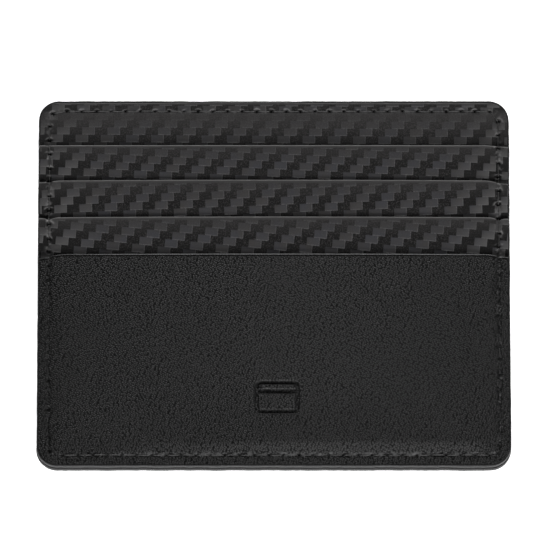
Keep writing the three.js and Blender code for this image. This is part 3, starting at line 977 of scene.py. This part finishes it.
# A bead's outer section, from its top to its foot: how far it stands out (mm), and the share of its height
BEAD_SECTION = (
    (-0.12, 1.0), (-0.03, 0.92), (0.02, 0.72), (0.035, 0.5), (0.02, 0.28), (-0.03, 0.08), (-0.12, 0.0),
)


def rim_points(inset, step):
    """Points round the wallet's outline, with the outward direction at each one."""
    radius = RIM_RADIUS - inset
    half_x, half_y = HALF_WIDTH - RIM_RADIUS, HALF_HEIGHT - RIM_RADIUS
    points, outward = [], []
    corners = ((half_x, half_y, 0), (-half_x, half_y, 90), (-half_x, -half_y, 180), (half_x, -half_y, 270))
    for index, (x, y, start) in enumerate(corners):
        for k in range(CORNER_STEPS + 1):
            angle = math.radians(start + 90 * k / CORNER_STEPS)
            direction = np.array([math.cos(angle), math.sin(angle)])
            points.append(np.array([x, y]) + radius * direction)
            outward.append(direction)
        next_x, next_y, _ = corners[(index + 1) % len(corners)]
        direction = outward[-1]
        last, target = points[-1], np.array([next_x, next_y]) + radius * direction
        count = int(np.linalg.norm(target - last) / step)
        for k in range(1, count):
            points.append(last + (target - last) * k / count)
            outward.append(direction)
    return np.array(points), np.array(outward)


def rim_band(name, low, high, inset, replaces):
    """A bead of edge paint round the rim, up from low. high gives its top, which may change from point
    to point. Only its outer face is uneven."""
    points, outward = rim_points(inset, PAINT_STEP)
    x, y = points[:, 0], points[:, 1]
    top, bottom = high(x, y), np.full(len(x), low)
    wave = 0.05 * MM * noise(x + y, x - y, 4 * MM, 61) + 0.03 * MM * noise(x + y, x - y, 0.8 * MM, 62)
    section = ((-PAINT_DEPTH, 0.98), *BEAD_SECTION, (-PAINT_DEPTH, 0.02))
    outer_face = -0.1
    layers = []
    for out, share in section:
        ring = points + outward * (out * MM + wave * (out > outer_face))[:, None]
        layers.append(np.column_stack([ring, bottom + (top - bottom) * share]))
    count, total = len(points), len(section)
    faces = []
    for k in range(total):
        m = (k + 1) % total
        for i in range(count):
            j = (i + 1) % count
            faces.append([k * count + i, m * count + i, m * count + j, k * count + j])
    new_piece(name, np.concatenate(layers), faces, paint, replaces)


def front_rim_top(x, y):
    """The top of the front half's edge paint, a little below the sheets that lap over each other."""
    below_top = 0.22 * MM
    heights = np.full(len(y), panel_high.z)
    for lean in (*strips, pocket):
        covered = ramp(lean["mouth"] - y, 0.1 * MM, 0.6 * MM)
        heights = heights * (1 - covered) + plane(lean, y) * covered
    return heights - below_top


# ---------------------------------------------------------------------------------------------------
# Making the wallet
# ---------------------------------------------------------------------------------------------------
front_pocket()
for strip_index in range(len(strips)):
    slot_strip(strip_index)
top_panel()
back_panel()
stitches("front_stitches", front_holes, front_height, 1, ["upper_thread"], FRONT_SLACK)
stitches("back_stitches", back_holes, lambda x, y: BACK_SURFACE, -1, ["lower_thread"], 0)

back_coat_low, back_coat_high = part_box("edge_coat_back")
front_coat_low, front_coat_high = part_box("edge_coat_front")
front_inset = HALF_WIDTH - front_coat_high.x


def back_rim_top(x, y):
    """The top of the back half's edge paint, level all the way round."""
    return np.full_like(x, back_coat_high.z)


rim_band("back_edge_paint", back_coat_low.z, back_rim_top, 0, ["edge_coat_back"])
rim_band("front_edge_paint", front_coat_low.z, front_rim_top, front_inset, ["edge_coat_front"])

# The pieces inside keep their CAD shapes
CARRIED_OVER = {
    "back_shield": foil,
    "pocket_shield": foil,
    "core_board": board,
    "note_tape_left": board,
    "note_tape_right": board,
    "note_tape_bottom": board,
    "side_filler_left": board,
    "side_filler_right": board,
    "bottom_filler": board,
    "back_lining": cloth,
    "slot_backing": cloth,
    "slot_lining_1": cloth,
    "slot_lining_2": cloth,
    "slot_lining_3": cloth,
    "pocket_lining": cloth,
    "slot_seam_1": thread,
    "slot_seam_2": thread,
    "slot_seam_3": thread,
    "hem_thread_back": thread,
    "hem_thread_front": thread,
}
for node, look in CARRIED_OVER.items():
    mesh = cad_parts[node].data
    mesh.materials.clear()
    mesh.materials.append(look)

# ---------------------------------------------------------------------------------------------------
# Floor, light and camera
# ---------------------------------------------------------------------------------------------------
def floor():
    """A plain pale floor, so wide that its far edge stays out of sight at low angles."""
    half, below = 12.0, 0.05 * MM
    n = Nodes("pale_floor")
    cloud = n.noise(0.01, detail=2)
    colour = n.colour(cloud, (0.9, 0.9, 0.9), (0.94, 0.94, 0.94))
    n.plug(n.shader.inputs["Emission Color"], (1, 1, 1, 1))
    n.finish(colour, 0.9, Emission_Strength=0.95)
    mesh = bpy.data.meshes.new("floor")
    corners = [(-half, -half, 0), (half, -half, 0), (half, half, 0), (-half, half, 0)]
    mesh.from_pydata(corners, [], [(0, 1, 2, 3)])
    mesh.materials.append(n.material)
    piece = bpy.data.objects.new("floor", mesh)
    piece.location.z = -below
    bpy.context.scene.collection.objects.link(piece)


def softbox(name, place, size, power):
    """A soft light at a place, turned to the wallet: its width and height in metres, its power in watts."""
    light = bpy.data.lights.new(name, "AREA")
    light.shape = "RECTANGLE"
    light.size, light.size_y = size
    light.energy = power
    lamp = bpy.data.objects.new(name, light)
    lamp.location = place
    lamp.rotation_mode = "QUATERNION"
    lamp.rotation_quaternion = (-Vector(place)).to_track_quat("-Z", "Y")
    bpy.context.scene.collection.objects.link(lamp)


def studio():
    """Two wide soft lights behind and in front of the wallet, and weak ones at its sides and above it."""
    world = bpy.data.worlds.new("studio")
    world.use_nodes = True
    background = world.node_tree.nodes["Background"]
    background.inputs["Color"].default_value = (1, 1, 1, 1)
    background.inputs["Strength"].default_value = 0.04
    bpy.context.scene.world = world
    softbox("key", (0, 0.95, 0.34), (1, 0.3), 8.5)
    softbox("side_left", (-0.8, 0.05, 0.3), (0.5, 0.3), 0.4)
    softbox("side_right", (0.8, 0.05, 0.3), (0.5, 0.3), 1.0)
    softbox("front_fill", (0.12, -0.78, 0.35), (0.8, 0.3), 8.5)
    softbox("overhead", (0.01, 0.085, 0.36), (0.1, 0.06), 0.035)


# The camera stands in front of the bottom edge, high above the wallet
CAMERA_ELEVATION = 75.7  # degrees
CAMERA_DISTANCE = 1.74
CAMERA_LENS = 538.4  # mm, on a sensor 36 mm wide
AIM_HEIGHT = 2.5 * MM
AIM_OFFSET = (0.25 * MM, 1.94 * MM)  # the wallet sits a little left of and below the picture's middle


def camera():
    """The camera, at the photograph's angle."""
    data = bpy.data.cameras.new("camera")
    data.lens = CAMERA_LENS
    data.sensor_width = 36
    data.clip_start, data.clip_end = 0.1, 10
    view = bpy.data.objects.new("camera", data)
    elevation = math.radians(CAMERA_ELEVATION)
    back = Vector((0, -math.cos(elevation), math.sin(elevation)))
    up = Vector((0, math.sin(elevation), math.cos(elevation)))
    aim = Vector((AIM_OFFSET[0], 0, AIM_HEIGHT)) + up * AIM_OFFSET[1]
    view.location = aim + back * CAMERA_DISTANCE
    view.rotation_mode = "QUATERNION"
    view.rotation_quaternion = (-back).to_track_quat("-Z", "Y")
    bpy.context.scene.collection.objects.link(view)
    bpy.context.scene.camera = view


floor()
studio()
camera()
bpy.context.scene.view_settings.view_transform = "Standard"
